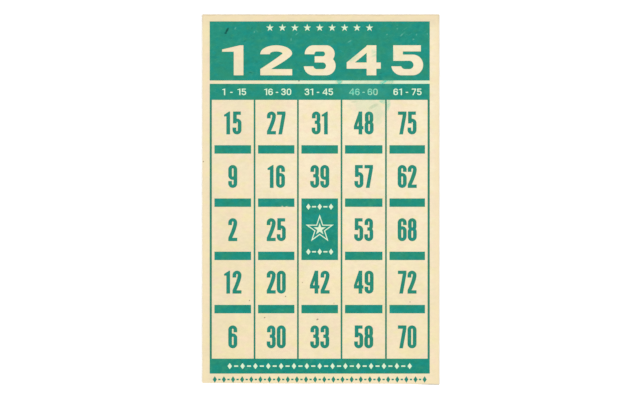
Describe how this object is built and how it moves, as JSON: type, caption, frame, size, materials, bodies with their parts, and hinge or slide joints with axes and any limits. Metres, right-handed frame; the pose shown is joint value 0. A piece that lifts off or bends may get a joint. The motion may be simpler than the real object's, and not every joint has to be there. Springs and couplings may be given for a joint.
{
  "type": "bingo card",
  "caption": "Flat laminated paperboard bingo card, printed green on cream: a header panel, a grid of numbers with bars between them, and a free space in the middle.",
  "frame": {"origin": "under the middle of the card, on the surface that it lies on", "axes": "+X to the right and +Y up as the card is read, +Z out of the printed face"},
  "size_m": [0.1142, 0.1788, 0.0008],
  "materials": {
    "face_paper": "aged uncoated, matt",
    "chipboard": "raw cut edge, matt",
    "back_paper": "aged uncoated, matt",
    "green_ink": "flat printing ink, slight sheen"
  },
  "bodies": {
    "root": {"back_liner": "back_paper", "board_core": "chipboard", "face_liner": "face_paper", "header_panel": "green_ink", "range_strip": "green_ink", "left_rule": "green_ink", "right_rule": "green_ink", "column_rule_1": "green_ink", "column_rule_2": "green_ink", "column_rule_3": "green_ink", "column_rule_4": "green_ink", "bar_row_1_column_1": "green_ink", "bar_row_1_column_2": "green_ink", "bar_row_1_column_3": "green_ink", "bar_row_1_column_4": "green_ink", "bar_row_1_column_5": "green_ink", "bar_row_2_column_1": "green_ink", "bar_row_2_column_2": "green_ink", "bar_row_2_column_4": "green_ink", "bar_row_2_column_5": "green_ink", "bar_row_3_column_1": "green_ink", "bar_row_3_column_2": "green_ink", "bar_row_3_column_4": "green_ink", "bar_row_3_column_5": "green_ink", "bar_row_4_column_1": "green_ink", "bar_row_4_column_2": "green_ink", "bar_row_4_column_3": "green_ink", "bar_row_4_column_4": "green_ink", "bar_row_4_column_5": "green_ink", "number_15": "green_ink", "number_27": "green_ink", "number_31": "green_ink", "number_48": "green_ink", "number_75": "green_ink", "number_9": "green_ink", "number_16": "green_ink", "number_39": "green_ink", "number_57": "green_ink", "number_62": "green_ink", "number_2": "green_ink", "number_25": "green_ink", "number_53": "green_ink", "number_68": "green_ink", "number_12": "green_ink", "number_20": "green_ink", "number_42": "green_ink", "number_49": "green_ink", "number_72": "green_ink", "number_6": "green_ink", "number_30": "green_ink", "number_33": "green_ink", "number_58": "green_ink", "number_70": "green_ink", "free_panel": "green_ink", "footer_strip": "green_ink", "edge_row": "green_ink"}
  },
  "joints": []
}
